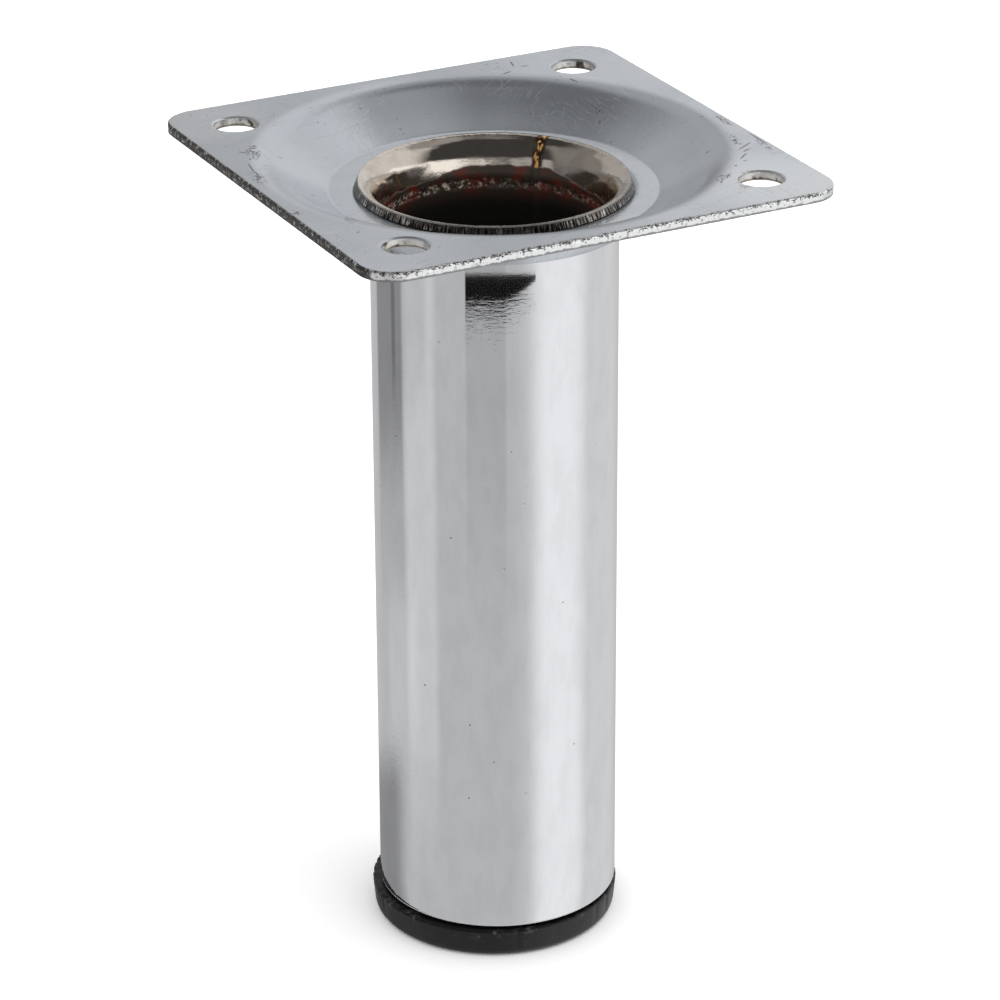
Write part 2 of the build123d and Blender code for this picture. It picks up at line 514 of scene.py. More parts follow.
def tube_finish():
    finish = Finish("chromed_tube")
    outside = finish.zone.near(OUTSIDE, 0.3, 0.5)
    cut_end = finish.zone.near(CUT_END, 0.3, 0.5)
    inside = finish.zone.ramp(1.5, 1.7)
    cloud = finish.noise(260, 3)
    long_cloud = finish.noise(90, 2, at=finish.stretched(0.12))
    speck = finish.cells(420).ramp(0.03, 0.11, 1.0, 0.0) * finish.noise(170, 1).ramp(0.6, 0.72)
    speck = speck * finish.z.ramp_mm(84.0, 86.0, 1.0, 0.0)
    satin = finish.noise(520, 3, 0.6, at=finish.stretched(0.35))
    pits = spots(finish, TUBE_PITS)
    # Painted shade: the outside of the flare under the lip is made near black, for the shadow line
    # below the cut end.
    painted_shade_under_lip = finish.z.ramp_mm(94.1, 94.6)
    chrome = finish.layered(
        (236, 237, 240),
        (cloud * 0.35, (228, 229, 233)),
        (speck * 0.5, (120, 118, 116)),
        (satin.ramp(0.35, 0.7) * 0.3, (212, 212, 215)),
        (pits * 0.75, (92, 90, 88)),
        (painted_shade_under_lip, (34, 31, 30)),
    )

    seam_side = finish.direction - SEAM_DIRECTION
    seam_wobble = (finish.noise(700, 3, 0.6) - 0.5) * 0.07
    seam_gold_and_painted_glints = (seam_side + seam_wobble * 0.9).small(0.014, 0.036)
    # The seam's gold line is broken into painted highlights: bright streaks of colour that stand
    # in for glints along it.
    painted_seam_glints = finish.noise(1700, 2, 0.6, at=finish.stretched(0.3))
    seam_gold_and_painted_glints = seam_gold_and_painted_glints * painted_seam_glints.ramp(0.45, 0.55)
    seam_burn = (seam_side + seam_wobble * 1.3).small(0.03, 0.062)
    scorch = finish.noise(330, 4, 0.6).ramp(0.45, 0.7)
    nickel = finish.layered(
        (222, 213, 202),
        (scorch * 0.4, (176, 162, 146)),
        (seam_burn * 0.9, (92, 52, 32)),
        (seam_gold_and_painted_glints * 0.95, (240, 190, 112)),
    )

    rust = finish.noise(260, 4, 0.65).ramp(0.44, 0.58)
    near_mouth = finish.z.ramp_mm(88.2, 91.6)
    scale = finish.mix(rust * near_mouth, colour(74, 64, 57), colour(120, 48, 33))
    scale = finish.mix(near_mouth, colour(34, 33, 30), scale)
    bead = finish.noise(1900, 2, 0.7).ramp(0.5, 0.6) * finish.noise(600, 2).ramp(0.34, 0.48)
    bead = bead * finish.direction.ramp(0.8, 1.6, 0.35, 1.0)
    ring = finish.z.near_mm(RING_HEIGHT, 0.3, 0.7)
    scale = finish.mix(ring * bead * 0.9, scale, colour(236, 216, 198))
    tongue = (finish.direction - BARE_TONGUE).size().ramp(0.35, 0.8, 0.95 * MM, 0.0)
    deep = finish.z - tongue + (finish.noise(700, 3) - 0.5) * (0.7 * MM)
    bare = deep.ramp_mm(92.3, 92.55, 1.0, 0.0)
    inner = finish.mix(bare, nickel, scale)

    across = finish.direction * CUT_END_REACH
    lines = finish.noise(3600, 2, at=(across, 0.0, finish.z * 0.15))
    # Painted highlights: white spots on the cut end's light lines stand in for glints.
    painted_cut_glint = finish.noise(900, 2, 0.7).ramp(0.5, 0.68)
    steel = finish.layered(
        (46, 42, 40),
        (lines.ramp(0.42, 0.6), (160, 153, 146)),
        (painted_cut_glint * lines.ramp(0.46, 0.54), (244, 242, 238)),
    )
    tint = finish.mix(inside, chrome, inner)
    tint = finish.mix(cut_end, tint, steel)
    chrome_gloss = cloud * 0.01 + long_cloud * 0.01 + 0.004
    nickel_gloss = scorch * 0.08 + seam_burn * 0.2 + 0.08
    inner_gloss = nickel_gloss + bare * 0.22
    gloss = chrome_gloss * inside.rest() + inner_gloss * inside + cut_end * 0.22
    unplated = (bare * 0.75).most(seam_gold_and_painted_glints * 0.7) * inside
    foot_edge = finish.z.ramp_mm(4.3, 4.42, 0.8, 0.0) * outside
    finish.paint(tint, gloss, unplated * -1.0 - foot_edge + 1.0)

    peel = finish.noise(620, 3, 0.6, at=finish.stretched(4.2)) - 0.5
    calm = finish.z.ramp_mm(86.0, 88.4, 1.0, 0.05) * outside
    finish.bump(peel * calm, 0.0016)
    waver = finish.noise(150, 1, at=finish.stretched(0.25)) - 0.5
    finish.bump(waver * calm, 0.002)
    finish.bump(speck * outside * -1.0, 0.006)
    finish.bump(pits * outside * -1.0, 0.02)
    burr = finish.z.ramp_mm(96.35, 96.5) * inside
    finish.bump(finish.noise(1500, 2, 0.6) * burr, 0.08)
    finish.bump(lines * cut_end, 0.10)
    finish.bump(finish.noise(1400, 3) * inside, 0.012)
    return finish.material


chromed_tube = tube_finish()
print("made", chromed_tube.name)

# %% [markdown]
# The tube is the first part off the lathe. Its section goes down the outside, round the foot, up
# the bore, over the flare and across the cut end. The tree then presses in the marks of making:
# waves of the draw, lines on the cut end and the rough ring below the flare. The weld seam is the
# one thing that stands proud: it rises a third of a millimetre from the wall into the empty bore.

# %% Chromed tube
FLARE_CURVE = LIP_RADIUS - TUBE_RADIUS
EDGE = 0.06
FOOT_ROUND = 0.2
ROUGH_FROM = 86.0
# Shares of the way out across the cut end: end of the plating, first and last of the bare steel
PLATED_SHARE, CUT_FROM, CUT_TO = 0.14, 0.2, 0.92


def on_cut_end(share):
    radius = MOUTH_RADIUS + (LIP_RADIUS - MOUTH_RADIUS) * share
    return radius, MOUTH_HEIGHT + (LIP_HEIGHT - MOUTH_HEIGHT) * share


def tube_section():
    points = run((LIP_RADIUS, LIP_HEIGHT - EDGE), (LIP_RADIUS, LIP_UNDER), 2, OUTSIDE)
    points += arc((LIP_RADIUS, FLARE_HEIGHT), FLARE_CURVE, FLARE_CURVE, 90, 180, 18, OUTSIDE)
    low = TUBE_FOOT + FOOT_ROUND
    outer, inner = TUBE_RADIUS - FOOT_ROUND, BORE_RADIUS + FOOT_ROUND
    points += run((TUBE_RADIUS, FLARE_HEIGHT - 0.1), (TUBE_RADIUS, low), 26, OUTSIDE)
    points += arc((outer, low), FOOT_ROUND, FOOT_ROUND, 0, -90, 4, OUTSIDE)
    points += run((outer, TUBE_FOOT), (inner, TUBE_FOOT), 2, BORE)
    points += arc((inner, low), FOOT_ROUND, FOOT_ROUND, 270, 180, 4, BORE)
    points += run((BORE_RADIUS, low), (BORE_RADIUS, ROUGH_FROM), 12, BORE)
    points += run((BORE_RADIUS, ROUGH_FROM), (BORE_RADIUS, THROAT_HEIGHT), 26, BORE)
    steepest = 180 - math.degrees(math.atan(math.tan(CONE_LEAN) * FLARE_DROP / FLARE_REACH))
    middle = (MOUTH_RADIUS, MOUTH_HEIGHT - FLARE_DROP)
    curve = arc(middle, FLARE_REACH, FLARE_DROP, steepest, 90, 26, FLARE)
    points += run((BORE_RADIUS, THROAT_HEIGHT), curve[0][:2], 8, FLARE) + curve
    points.append((MOUTH_RADIUS - 0.01, MOUTH_HEIGHT, FLARE))
    points.append((*on_cut_end(PLATED_SHARE), FLARE))
    points += run(on_cut_end(CUT_FROM), on_cut_end(CUT_TO), 5, CUT_END)
    points.append((LIP_RADIUS, LIP_HEIGHT - EDGE, OUTSIDE))
    return points


TUBE_SIZES = {
    "Turn Steps": 540,
    "Wave Depth": 0.003 * MM,
    "Ring Depth": 0.30 * MM,
    "Seam Height": 0.34 * MM,
}


def tube_tree():
    tree = new_tree("turned_tube", TUBE_SIZES)
    shell = turn_on_lathe(tree)
    place = place_of(tree)
    x, y, z = split(tree, place)
    direction = round_about(x, y)[1]
    zone = zone_of(tree)
    outside = zone.near(OUTSIDE, 0.3, 0.5)
    inside = zone.ramp(1.5, 1.9)
    cut_end = zone.near(CUT_END, 0.3, 0.5)
    waves = noise(tree, vector_of(tree, x, y, z * 0.3), 110, 1) * size_of(tree, "Wave Depth")
    ring = z.near_mm(RING_HEIGHT, 0.25, 0.7) * inside
    beads = noise(tree, place, 1500, 1).ramp(0.35, 0.65, 0.0, 1.0)
    rough_ring = ring * beads * size_of(tree, "Ring Depth")
    depth = waves * outside + rough_ring
    lines = noise(tree, vector_of(tree, direction * CUT_END_REACH, 0.0, 0.0), 3000, 1)
    depth = depth + lines * cut_end * (0.05 * MM)
    uneven = noise(tree, place, 700, 2) * inside * (0.05 * MM)
    shaped = press_in(tree, shell, depth + uneven)

    seam_reach = direction.near(SEAM_DIRECTION, 0.0, 0.06)
    seam_top = z.ramp_mm(THROAT_HEIGHT + 0.2, THROAT_HEIGHT + 2.8, 1.0, 0.12)
    seam_foot = z.ramp_mm(16.0, 17.5)
    ripple = noise(tree, vector_of(tree, 0.0, 0.0, z), 1600, 1) * 0.5 + 0.5
    seam = seam_reach * seam_top * seam_foot * inside * ripple * size_of(tree, "Seam Height")
    shaped = press_in(tree, shaped, -seam)
    close_tree(tree, shaped, chromed_tube)
    return tree


tube_line = section_object("tube", tube_section(), True)
tube = make_part("chromed_tube_shell", tube_line, tube_tree(), TUBE_SIZES)

# %% [markdown]
# The mounting plate is sheet steel with a dull zinc coat. Its flats are grainy and semi-bright,
# with handling scratches, rubbed patches and small chips near the edges. Where the blank was cut,
# the side of the sheet shows a smooth band above and torn grain below, and the punched holes are
# the same. The finish changes by zone: the skin of the sheet, the sheared sides and the hole
# walls. Rubs and scratches are put where the real plate has them, and noise gives them their
# ragged borders.

# %% Plate finish
SKIN, SHEARED, HOLE_WALL = 0.0, 1.0, 2.0
PLATE_TOP = 100.0
SHEET = 1.2
PLATE_BOTTOM = PLATE_TOP - SHEET
# Rubbed places on top of the plate: middle x and y, half width along and across, turn
RUBBED_PLACES = (
    (-25.0, 13.0, 2.6, 0.9, 70), (-28.2, 4.5, 2.2, 0.8, 85), (-24.0, -11.5, 2.4, 0.8, 60),
    (-29.0, -8.0, 0.9, 0.5, 20), (21.0, -22.3, 3.0, 0.9, 55), (19.0, -20.2, 1.6, 0.7, 30),
    (26.7, -10.0, 2.4, 0.6, 80), (29.0, -3.4, 2.2, 0.4, 88), (28.9, -13.0, 2.0, 0.4, 86),
    (20.5, 11.6, 1.6, 0.5, 110),
)
# Single dark scratches and nicks on top of the plate, from end to end
SCRATCHES = (
    (25.5, -13.1, 27.8, -11.7), (25.5, -14.0, 26.8, -13.4), (23.8, -16.1, 25.7, -14.6),
    (24.0, -16.8, 24.4, -16.7), (22.2, -17.8, 22.5, -17.6), (19.4, -20.7, 20.4, -19.7),
    (17.9, -22.0, 18.5, -21.2), (29.4, -8.8, 29.3, -13.2), (-26.5, 13.6, -25.9, 13.0),
    (-26.5, 10.6, -26.3, 10.9), (-27.2, 9.5, -27.8, 6.6), (-27.6, 6.9, -28.1, 4.0),
    (-29.5, -8.2, -29.3, -8.1), (-25.7, -16.7, -25.5, -16.6), (-17.3, 24.0, -17.2, 24.1),
    (16.8, 28.1, 16.2, 26.0), (17.0, 25.8, 18.0, 25.5), (13.8, 24.3, 15.1, 24.6),
    (20.2, 19.1, 20.6, 17.7), (27.4, -0.6, 27.7, -0.8), (23.1, -9.7, 23.5, -9.5),
    (-21.8, 3.9, -21.7, 3.5),
)
# Painted shade and painted light: darker and brighter areas on the flats of the zinc: middle x and
# y, reach, strength, colour
PAINTED_FLAT_LIGHT_AND_SHADE = (
    (-9.0, -30.0, 17.0, 0.6, (166, 170, 176)),
    (25.0, -25.0, 13.0, 0.5, (238, 240, 242)),
    (-27.0, 26.0, 11.0, 0.45, (238, 240, 242)),
    (9.0, 29.0, 12.0, 0.35, (170, 174, 180)),
)


def streaks(finish, angle, scale, low, high):
    """Long thin scratches that run at the given angle in degrees."""
    turn = math.radians(angle)
    along = finish.x * math.cos(turn) + finish.y * math.sin(turn)
    across = finish.y * math.cos(turn) - finish.x * math.sin(turn)
    line = finish.noise(scale, 0, at=(along * 0.05, across, finish.z))
    broken = finish.noise(scale * 0.08, 1).ramp(0.52, 0.62)
    return (line - 0.5).small(low, high) * broken


def line_places(lines, half_width):
    """Scratches from end to end, turned into the same kind of places as the rubs."""
    places = []
    for first_x, first_y, last_x, last_y in lines:
        length = math.hypot(last_x - first_x, last_y - first_y)
        angle = math.degrees(math.atan2(last_y - first_y, last_x - first_x))
        middle = ((first_x + last_x) / 2, (first_y + last_y) / 2)
        places.append((*middle, length / 2 + 0.1, half_width, angle))
    return places


def worn(finish, places, ragged):
    """Stretched spots at known places, with a border as ragged as the given field."""
    masks = []
    for middle_x, middle_y, along_half, across_half, angle in places:
        turn = math.radians(angle)
        right = finish.x - middle_x * MM
        ahead = finish.y - middle_y * MM
        along = (right * math.cos(turn) + ahead * math.sin(turn)) / (along_half * MM)
        across = (ahead * math.cos(turn) - right * math.sin(turn)) / (across_half * MM)
        reach = (along * along + across * across).math("SQRT") + ragged
        masks.append(reach.ramp(0.5, 1.2, 1.0, 0.0))
    return strongest(masks)


def plate_finish():
    finish = Finish("zinc_plate")
    sheared = finish.zone.near(SHEARED, 0.3, 0.5)
    hole_wall = finish.zone.ramp(1.5, 1.8)
    skin = finish.zone.ramp(0.3, 0.5, 1.0, 0.0)
    grain = finish.noise(2600, 2, 0.6)
    cloud = finish.noise(120, 3)
    scratch = streaks(finish, 20, 1400, 0.004, 0.012)
    scratch = scratch.most(streaks(finish, 96, 1600, 0.004, 0.011))
    crack = (finish.noise(620, 4, 0.7) - 0.5).small(0.006, 0.03)
    on_top = finish.z.ramp_mm(94.0, 95.0)
    rubs = worn(finish, RUBBED_PLACES, (finish.noise(900, 3, 0.7) - 0.5) * 1.6)
    patch = rubs * crack.most(finish.noise(2400, 2, 0.6).ramp(0.6, 0.66))
    nicks = worn(finish, line_places(SCRATCHES, 0.12), (finish.noise(2300, 3, 0.8) - 0.5) * 2.4)
    patch = patch.most(nicks * 0.8) * skin * on_top
    fleck = finish.noise(1500, 1, 0.5).ramp(0.73, 0.77) * skin
    # Painted shade and painted light: darker and brighter areas laid on the flats where their
    # reflections differ.
    painted_flat_light_and_shade = []
    for middle_x, middle_y, reach, share, tone in PAINTED_FLAT_LIGHT_AND_SHADE:
        distance = finish.distance_to(middle_x, middle_y)
        painted_flat_light_and_shade.append((distance.ramp_mm(0.3 * reach, reach, share, 0.0), tone))
    turned = finish.noise(1500, 1, at=(finish.radius, 0.0, finish.z))
    in_dish = finish.radius.ramp_mm(25.5, 27.0, 1.0, 0.0)
    zinc = finish.layered(
        (194, 200, 207),
        (cloud, (211, 215, 220)),
        *painted_flat_light_and_shade,
        (grain.ramp(0.62, 0.8) * 0.3, (150, 152, 155)),
        (fleck * 0.5, (120, 118, 116)),
        (turned.ramp(0.58, 0.7) * in_dish * 0.22, (150, 152, 156)),
        (patch * 0.85, (76, 70, 66)),
        (scratch * skin * 0.2, (232, 234, 236)),
    )

    below_top = finish.z * -1.0 + PLATE_TOP * MM
    tear = finish.noise(1300, 3, 0.65)
    torn = (below_top + (tear - 0.5) * (0.7 * MM)).ramp_mm(0.85, 1.0)
    # Painted shade: the sheared side that faces -x is made darker, broken into grains.
    painted_shade_left_side = finish.x.ramp_mm(-29.6, -29.3, 1.0, 0.0)
    painted_shade_left_side = painted_shade_left_side * finish.noise(1900, 3, 0.7).ramp(0.3, 0.52)
    chip_line = below_top + (finish.noise(2600, 3, 0.7) - 0.5) * (1.3 * MM)
    chipped = chip_line.near_mm(0.24, 0.05, 0.14)
    chipped = chipped * finish.noise(1100, 3, 0.7).ramp(0.42, 0.52)
    upper_side = below_top.ramp_mm(0.55, 0.95, 1.0, 0.0)
    speckle = finish.noise(1900, 2, 0.6).ramp(0.56, 0.62) * upper_side
    side = finish.layered(
        (240, 241, 242),
        (torn, (150, 150, 150)),
        (painted_shade_left_side, (84, 80, 76)),
        (chipped, (58, 52, 48)),
        (speckle * 0.7, (92, 88, 82)),
    )
    stain = finish.noise(640, 3, 0.6).ramp(0.54, 0.68)
    wall = finish.layered((222, 220, 216), (torn, (150, 140, 124)), (stain, (86, 77, 66)))
    tint = finish.mix(hole_wall, finish.mix(sheared, zinc, side), wall)
    gloss = cloud * 0.06 + grain * 0.05 + patch * 0.18 + 0.13
    gloss = gloss + sheared * torn * 0.2
    dull = finish.radius.ramp_mm(20.0, 24.5, 1.0, 0.0)
    finish.paint(tint, gloss, dull * -0.1 + 0.8)
    finish.bump(grain * skin, 0.010)
    finish.bump(scratch * skin * -1.0, 0.012)
    finish.bump(patch * finish.noise(2200, 2) * -1.0, 0.05)
    finish.bump(tear * (sheared + hole_wall * 0.3), 0.03)
    return finish.material


zinc_plate = plate_finish()
print("made", zinc_plate.name)

# %% [markdown]
# The dish in the middle of the plate is one bent strip of sheet. Both its faces come from the
# same bends: each bend has one centre, and the two faces are arcs about it that differ in radius
# by the thickness of the sheet. That keeps the sheet equally thick all the way, as pressing does.

# %% Section of the dish
DISH_CORNERS = ((28.96, 100.0), (26.95, 100.0), (19.6, 95.55), (15.5, 95.55), (15.5, 92.1))
DISH_BENDS = (6.5, 1.0, 1.6)
BEND_STEPS = (14, 8, 10)
NECK_EDGE = 0.08


def bend_at(before, corner, after, radius):
    """Centre, first angle, last angle and hand of the arc that rounds a corner of a line."""
    back = Vector((before[0] - corner[0], before[1] - corner[1])).normalized()
    ahead = Vector((after[0] - corner[0], after[1] - corner[1])).normalized()
    half = math.acos(max(-1.0, min(1.0, back.dot(ahead)))) / 2
    centre = Vector(corner) + (back + ahead).normalized() * (radius / math.sin(half))
    reach = radius / math.tan(half)
    first = Vector(corner) + back * reach - centre
    last = Vector(corner) + ahead * reach - centre
    start = math.degrees(math.atan2(first.y, first.x))
    end = math.degrees(math.atan2(last.y, last.x))
    if end - start > 180:
        end -= 360
    if start - end > 180:
        end += 360
    return centre, start, end


def dish_faces():
    """Upper and lower face of the dish, both from the flat of the plate inwards."""
    upper = [(*DISH_CORNERS[0], SKIN)]
    lower = [(DISH_CORNERS[0][0], DISH_CORNERS[0][1] - SHEET, SKIN)]
    for place, radius in enumerate(DISH_BENDS):
        before, corner, after = DISH_CORNERS[place:place + 3]
        centre, start, end = bend_at(before, corner, after, radius)
        thicker = radius + SHEET if end < start else radius - SHEET
        upper += arc(centre, radius, radius, start, end, BEND_STEPS[place], SKIN)
        lower += arc(centre, thicker, thicker, start, end, BEND_STEPS[place], SKIN)
    neck_radius, neck_bottom = DISH_CORNERS[-1]
    upper.append((neck_radius, neck_bottom + NECK_EDGE, SKIN))
    lower.append((neck_radius + SHEET, neck_bottom + NECK_EDGE, SKIN))
    return upper, lower


def dish_section():
    upper, lower = dish_faces()
    neck_radius, neck_bottom = DISH_CORNERS[-1]
    outer = (neck_radius + SHEET - NECK_EDGE, neck_bottom)
    inner = (neck_radius + NECK_EDGE, neck_bottom)
    return lower + run(outer, inner, 3, SHEARED) + upper[::-1]


# %% [markdown]
# Round the dish the plate is flat, so that part is not turned: Fill Curve fills the square
# outline less the dish and the four holes. The outline and the holes get swept edges of their
# own, whose first and last rows lie on the rims of the fill, and Merge by Distance welds them.
# The sheared sides are then pressed in by noise, most along the upper corner, where the zinc has
# chipped.

# %% Zinc plate
PLATE_SIDE = 60.0
CORNER_RADIUS = 4.3
CORNER_STEPS = 24
SCREW_SPACING = 45.6
HOLE_RADIUS = 2.65
RIM_ROUND = 0.25
RIM_LAND = 0.1
PLATE_SIZES = {
    "Turn Steps": 480,
    "Outline Steps": 1000,
    "Hole Steps": 96,
    "Tear Depth": 0.07 * MM,
}


def outline_section():
    """Edge of the sheet, as distance out from the rim of the flat."""
    reach = RIM_LAND + RIM_ROUND
    points = [(0.0, PLATE_TOP, SKIN), (RIM_LAND, PLATE_TOP, SKIN)]
    points += arc((RIM_LAND, PLATE_TOP - RIM_ROUND), RIM_ROUND, RIM_ROUND, 90, 0, 6, SHEARED)[1:]
    points += run((reach, PLATE_TOP - RIM_ROUND), (reach, PLATE_BOTTOM + 0.05), 7, SHEARED)
    points += [(reach - 0.05, PLATE_BOTTOM, SHEARED), (0.0, PLATE_BOTTOM, SKIN)]
    return points


def hole_section():
    """Edge of a hole, as distance out from the rim of the flat round it, so mostly below zero."""
    reach = RIM_LAND + RIM_ROUND
    points = [(0.0, PLATE_BOTTOM, SKIN), (-reach + 0.08, PLATE_BOTTOM, SKIN)]
    points += run((-reach, PLATE_BOTTOM + 0.08), (-reach, PLATE_TOP - RIM_ROUND), 5, HOLE_WALL)
    points += arc((-RIM_LAND, PLATE_TOP - RIM_ROUND), RIM_ROUND, RIM_ROUND, 180, 90, 6, SKIN)[1:]
    points += [(0.0, PLATE_TOP, SKIN)]
    return points


def section_input(tree, name):
    """A section object brought into a tree by name. It is given from its path already."""
    node = add_node(tree, "GeometryNodeObjectInfo", Object=bpy.data.objects[name])
    return laid_flat(tree, node.outputs["Geometry"], 0.0)


def square_path(tree):
    """The rim of the flat: a square with round corners, evenly divided."""
    inset = RIM_LAND + RIM_ROUND
    side = (PLATE_SIDE - 2 * inset) * MM
    square = add_node(tree, "GeometryNodeCurvePrimitiveQuadrilateral", Width=side, Height=side)
    radius = (CORNER_RADIUS - inset) * MM
    rounded = geometry_node(tree, "FilletCurve", square.outputs[0], Radius=radius)
    rounded.node.mode = "POLY"
    rounded.node.inputs["Count"].default_value = CORNER_STEPS
    return geometry_node(tree, "ResampleCurve", rounded, Count=size_of(tree, "Outline Steps"))


def join(tree, pieces):
    joined = tree.nodes.new("GeometryNodeJoinGeometry")
    for piece in pieces:
        tree.links.new(piece, joined.inputs[0])
    return joined.outputs[0]


def at_four_corners(tree, geometry):
    """Copies of something at the four screw holes."""
    half = SCREW_SPACING / 2 * MM
    places = ((half, half, 0), (-half, half, 0), (-half, -half, 0), (half, -half, 0))
    return join(tree, [
        geometry_node(tree, "Transform", geometry, Translation=place) for place in places
    ])


def flat_of_plate(tree, outlines, height):
    """The filled flat at a height, facing up."""
    filled = geometry_node(tree, "FillCurve", outlines)
    raised = geometry_node(tree, "Transform", filled, Translation=(0, 0, height * MM))
    return geometry_node(tree, "SetShadeSmooth", raised, Shade_Smooth=False)


def plate_tree():
    tree = new_tree("plate_sheet", PLATE_SIZES)
    dish = turn_on_lathe(tree)
    rim = square_path(tree)
    hole_rim_radius = (HOLE_RADIUS + RIM_LAND + RIM_ROUND) * MM
    hole_rim = circle_path(tree, hole_rim_radius, size_of(tree, "Hole Steps"))
    dish_rim = circle_path(tree, DISH_CORNERS[0][0] * MM, size_of(tree, "Turn Steps"))
    outlines = join(tree, (rim, dish_rim, at_four_corners(tree, hole_rim)))
    side = swept(tree, rim, section_input(tree, "outline_edge"))
    hole = swept(tree, hole_rim, section_input(tree, "hole_edge"))
    upper = flat_of_plate(tree, outlines, PLATE_TOP)
    lower = geometry_node(tree, "FlipFaces", flat_of_plate(tree, outlines, PLATE_BOTTOM))
    sheet = join(tree, (dish, side, at_four_corners(tree, hole), upper, lower))
    welded = geometry_node(tree, "MergeByDistance", sheet, Distance=2 * WELD_DISTANCE)

    place = place_of(tree)
    z = split(tree, place)[2]
    sheared = zone_of(tree).near(SHEARED, 0.3, 0.5)
    upper_corner = z.ramp_mm(99.45, 99.8, 0.35, 1.0)
    chips = noise(tree, place, 1500, 2, 0.7).ramp(0.45, 0.75)
    tear = chips * upper_corner * sheared * size_of(tree, "Tear Depth")
    close_tree(tree, press_in(tree, welded, tear), zinc_plate)
    return tree


outline_edge = section_object("outline_edge", outline_section(), False)
hole_edge = section_object("hole_edge", hole_section(), False)
dish_line = section_object("dish", dish_section(), False)
plate = make_part("zinc_plate_sheet", dish_line, plate_tree(), PLATE_SIZES)
bpy.data.objects.remove(outline_edge)
bpy.data.objects.remove(hole_edge)

# %% [markdown]
# The foot cap is moulded black plastic: a thick flange and a hollow plug with barbs that grip the
# bore. Such plastic is half dull and has a fine grain, and it picks up pale rubs where the leg
# has knocked against something. The rubs are mostly on the flange's upper corner.

# %% Cap finish
PLASTIC_IOR = 1.42


def cap_finish():
    finish = Finish("moulded_black")
    grain = finish.noise(3200, 2)
    cloud = finish.noise(240, 3)
    corner = finish.z.near_mm(3.4, 0.25, 0.9)
    rub = finish.noise(700, 4, 0.7).ramp(0.56, 0.7) * (corner * 0.8 + 0.12)
    tint = finish.layered((17, 17, 18), (cloud, (26, 26, 28)), (rub * 0.8, (96, 95, 94)))
    finish.paint(tint, cloud * 0.12 + rub * 0.2 + 0.3, 0.0)
    finish.shader.inputs["IOR"].default_value = PLASTIC_IOR
    finish.bump(grain, 0.012)
    finish.bump(rub * finish.noise(1800, 2), 0.04)
    return finish.material


black_plastic = cap_finish()
print("made", black_plastic.name)

# %% [markdown]
# The cap is turned like the tube, and then moved a third of a millimetre off the axis, because
# the real one is not quite central. The mould's parting flash is a ragged line on the upper
# corner of the flange, pressed in between its teeth so that it stays within the solid.

# %% Foot cap
CAP_SHIFT = (-0.37, 0.19)
FLANGE_THICKNESS = 3.7
FLANGE_RADIUS = 15.3
FLANGE_TAPER = math.radians(5.0)
PLUG_RADIUS = 12.2
PLUG_TOP = 16.7
PLUG_WALL = 1.5
PLUG_FLOOR = 2.4
BARB_RADIUS = BORE_RADIUS - math.hypot(*CAP_SHIFT) - 0.06
BARB_PITCH = 3.4
BARB_DROP = 2.2
TIP_CHAMFER = 0.5
CORNER_ROUND = 0.3
BASE_ROUND = 1.1
CAP_SIZES = {"Turn Steps": 320, "Flash Depth": 0.16 * MM}


def cap_section():
    hollow = PLUG_RADIUS - PLUG_WALL
    inner = (hollow - CORNER_ROUND, PLUG_FLOOR + CORNER_ROUND)
    points = run((0.0, PLUG_FLOOR), (inner[0], PLUG_FLOOR), 6, 0)
    points += arc(inner, CORNER_ROUND, CORNER_ROUND, -90, 0, 4, 0)
    points += run((hollow, inner[1]), (hollow, PLUG_TOP - 0.1), 6, 0)
    points += [(hollow + 0.1, PLUG_TOP, 0), (PLUG_RADIUS - TIP_CHAMFER, PLUG_TOP, 0)]
    points += [(PLUG_RADIUS, PLUG_TOP - TIP_CHAMFER, 0)]
    for barb in (2, 1, 0):
        base = FLANGE_THICKNESS + BARB_PITCH * (barb + 0.5)
        points += [(PLUG_RADIUS, base + BARB_DROP, 0), (BARB_RADIUS, base + 0.06, 0)]
        points += [(BARB_RADIUS - 0.05, base, 0), (PLUG_RADIUS, base, 0)]
    points += [(PLUG_RADIUS, FLANGE_THICKNESS, 0)]
    corner = (FLANGE_RADIUS - CORNER_ROUND, FLANGE_THICKNESS - CORNER_ROUND)
    points += run((PLUG_RADIUS + 0.2, FLANGE_THICKNESS), (corner[0], FLANGE_THICKNESS), 4, 0)
    points += arc(corner, CORNER_ROUND, CORNER_ROUND, 90, -5, 7, 0)
    foot_radius = FLANGE_RADIUS - FLANGE_THICKNESS * math.tan(FLANGE_TAPER)
    centre = (foot_radius - BASE_ROUND * math.tan(math.radians(42.5)), BASE_ROUND)
    points += arc(centre, BASE_ROUND, BASE_ROUND, -5, -90, 12, 0)
    points += run((centre[0], 0.0), (0.0, 0.0), 8, 0)
    return points


def cap_tree():
    tree = new_tree("turned_cap", CAP_SIZES)
    shell = turn_on_lathe(tree)
    welded = geometry_node(tree, "MergeByDistance", shell, Distance=WELD_DISTANCE)
    place = place_of(tree)
    x, y, z = split(tree, place)
    radius = round_about(x, y)[0]
    corner = z.near_mm(3.45, 0.2, 0.5) * radius.ramp_mm(14.5, 14.9)
    teeth = noise(tree, vector_of(tree, x, y, z * 0.3), 800, 3, 0.7).ramp(0.5, 0.66)
    flash = corner * teeth * size_of(tree, "Flash Depth")
    shift = (CAP_SHIFT[0] * MM, CAP_SHIFT[1] * MM, 0)
    shaped = press_in(tree, welded, flash)
    moved = geometry_node(tree, "Transform", shaped, Translation=shift)
    close_tree(tree, moved, black_plastic)
    return tree


cap_line = section_object("cap", cap_section(), False)
cap = make_part("black_foot_cap", cap_line, cap_tree(), CAP_SIZES)

